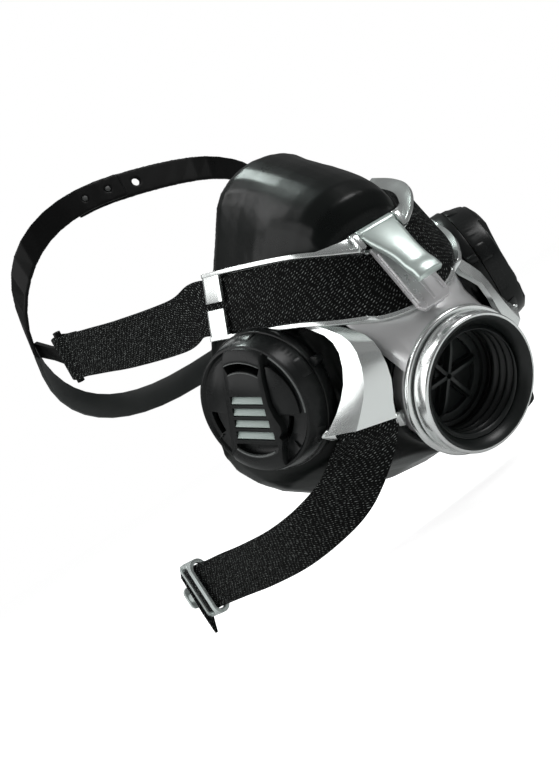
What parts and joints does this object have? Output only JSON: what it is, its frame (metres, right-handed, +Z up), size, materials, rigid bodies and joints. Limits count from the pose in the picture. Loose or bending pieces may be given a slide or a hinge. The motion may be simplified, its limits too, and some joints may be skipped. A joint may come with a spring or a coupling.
{
  "type": "respirator",
  "caption": "Half-mask respirator: rubber facepiece, silver yoke, central screw connector, side exhalation valves, finger latch and five-strap head harness",
  "frame": {"origin": "middle of the face seal", "axes": "+Y back towards the wearer, so the mask faces -Y; +Z up; +X the wearer's left"},
  "size_m": [0.1774, 0.2495, 0.2098],
  "materials": {
    "rubber": "satin moulded rubber",
    "silver": "bright silver lacquer",
    "housing_grey": "silver-grey gloss",
    "bar_steel": "drawn wire",
    "thread_plastic": "glass-filled nylon",
    "ring_metal": "turned and lacquered",
    "seal_rubber": "moulded seal",
    "flap_silicone": "thin silicone",
    "valve_plastic": "fine spark-eroded",
    "louvre_grey": "smooth",
    "plate_grey": "satin grey",
    "lever_alloy": "satin, faint green sheen",
    "webbing": "woven elastic",
    "cradle_rubber": "smooth moulded",
    "peg_grey": "smooth",
    "buckle_alloy": "cast, satin"
  },
  "bodies": {
    "mask": {"facepiece": "rubber", "strap_channel": "silver", "neck_cowl": "housing_grey", "side_leg_left": "silver", "side_leg_right": "silver", "lower_bar_left": "bar_steel", "lower_bar_right": "bar_steel", "thread_liner": "thread_plastic", "front_ring": "ring_metal", "groove_seal": "seal_rubber", "rear_ring": "ring_metal", "thread_gasket": "seal_rubber", "inhale_spider": "thread_plastic", "inhale_button": "valve_plastic", "retaining_ring": "thread_plastic", "clamp_plate": "plate_grey", "latch_pin": "bar_steel", "valve_housing_left": "valve_plastic", "valve_housing_right": "valve_plastic", "exhale_seat_left": "valve_plastic", "exhale_seat_right": "valve_plastic", "front_strap": "webbing", "rear_strap_left": "webbing", "rear_strap_right": "webbing", "anchor_left": "cradle_rubber", "anchor_right": "cradle_rubber", "crown_band_left": "cradle_rubber", "crown_band_right": "cradle_rubber", "crown_pegs": "peg_grey", "nape_band": "cradle_rubber"},
    "lever": {"latch_lever": "lever_alloy"},
    "cover_left": {"valve_cover_left": "valve_plastic", "louvre_left": "louvre_grey"},
    "cover_right": {"valve_cover_right": "valve_plastic", "louvre_right": "louvre_grey"},
    "exhale_left": {"exhale_flap_left": "seal_rubber"},
    "exhale_right": {"exhale_flap_right": "seal_rubber"},
    "inhale": {"inhale_flap": "flap_silicone"},
    "neck_left": {"neck_strap_left": "webbing"},
    "neck_right": {"neck_strap_right": "webbing"},
    "hook": {"hook_frame": "buckle_alloy", "strap_tab": "webbing", "tee_hook": "buckle_alloy"},
    "catch": {"catch_loop": "buckle_alloy"}
  },
  "joints": [
    {"name": "lever_lift", "type": "hinge", "parent": "mask", "child": "lever", "pos_m": [0, -0.05119, 0.01777], "axis": [-1, 0, 0], "range_deg": [0, 60]},
    {"name": "cover_twist_left", "type": "hinge", "parent": "mask", "child": "cover_left", "pos_m": [0.0633, -0.0156, -0.012], "axis": [0.8988, -0.4384, 0], "range_deg": [-33, 0]},
    {"name": "cover_twist_right", "type": "hinge", "parent": "mask", "child": "cover_right", "pos_m": [-0.0633, -0.0156, -0.012], "axis": [-0.8988, -0.4384, 0], "range_deg": [0, 33]},
    {"name": "exhale_lift_left", "type": "slide", "parent": "mask", "child": "exhale_left", "axis": [0.8988, -0.4384, 0], "range_m": [0, 0.0013]},
    {"name": "exhale_lift_right", "type": "slide", "parent": "mask", "child": "exhale_right", "axis": [-0.8988, -0.4384, 0], "range_m": [0, 0.0013]},
    {"name": "inhale_lift", "type": "slide", "parent": "mask", "child": "inhale", "axis": [0, 0.9063, 0.4226], "range_m": [0, 0.0013]},
    {"name": "neck_swing_left", "type": "hinge", "parent": "mask", "child": "neck_left", "pos_m": [0.0352, -0.0328, -0.0386], "axis": [-0.7202, -0.6102, -0.3301], "range_deg": [-5, 35]},
    {"name": "neck_swing_right", "type": "hinge", "parent": "mask", "child": "neck_right", "pos_m": [-0.0352, -0.0328, -0.0386], "axis": [-0.7202, 0.6102, 0.3301], "range_deg": [-5, 35]},
    {"name": "hook_turn", "type": "hinge", "parent": "neck_right", "child": "hook", "pos_m": [-0.08126, 0.10641, -0.066], "axis": [0, 0, 1], "range_deg": [-8, 8]},
    {"name": "catch_turn", "type": "hinge", "parent": "neck_left", "child": "catch", "pos_m": [0.08126, 0.10641, -0.066], "axis": [0, 0, 1], "range_deg": [-8, 8]}
  ]
}
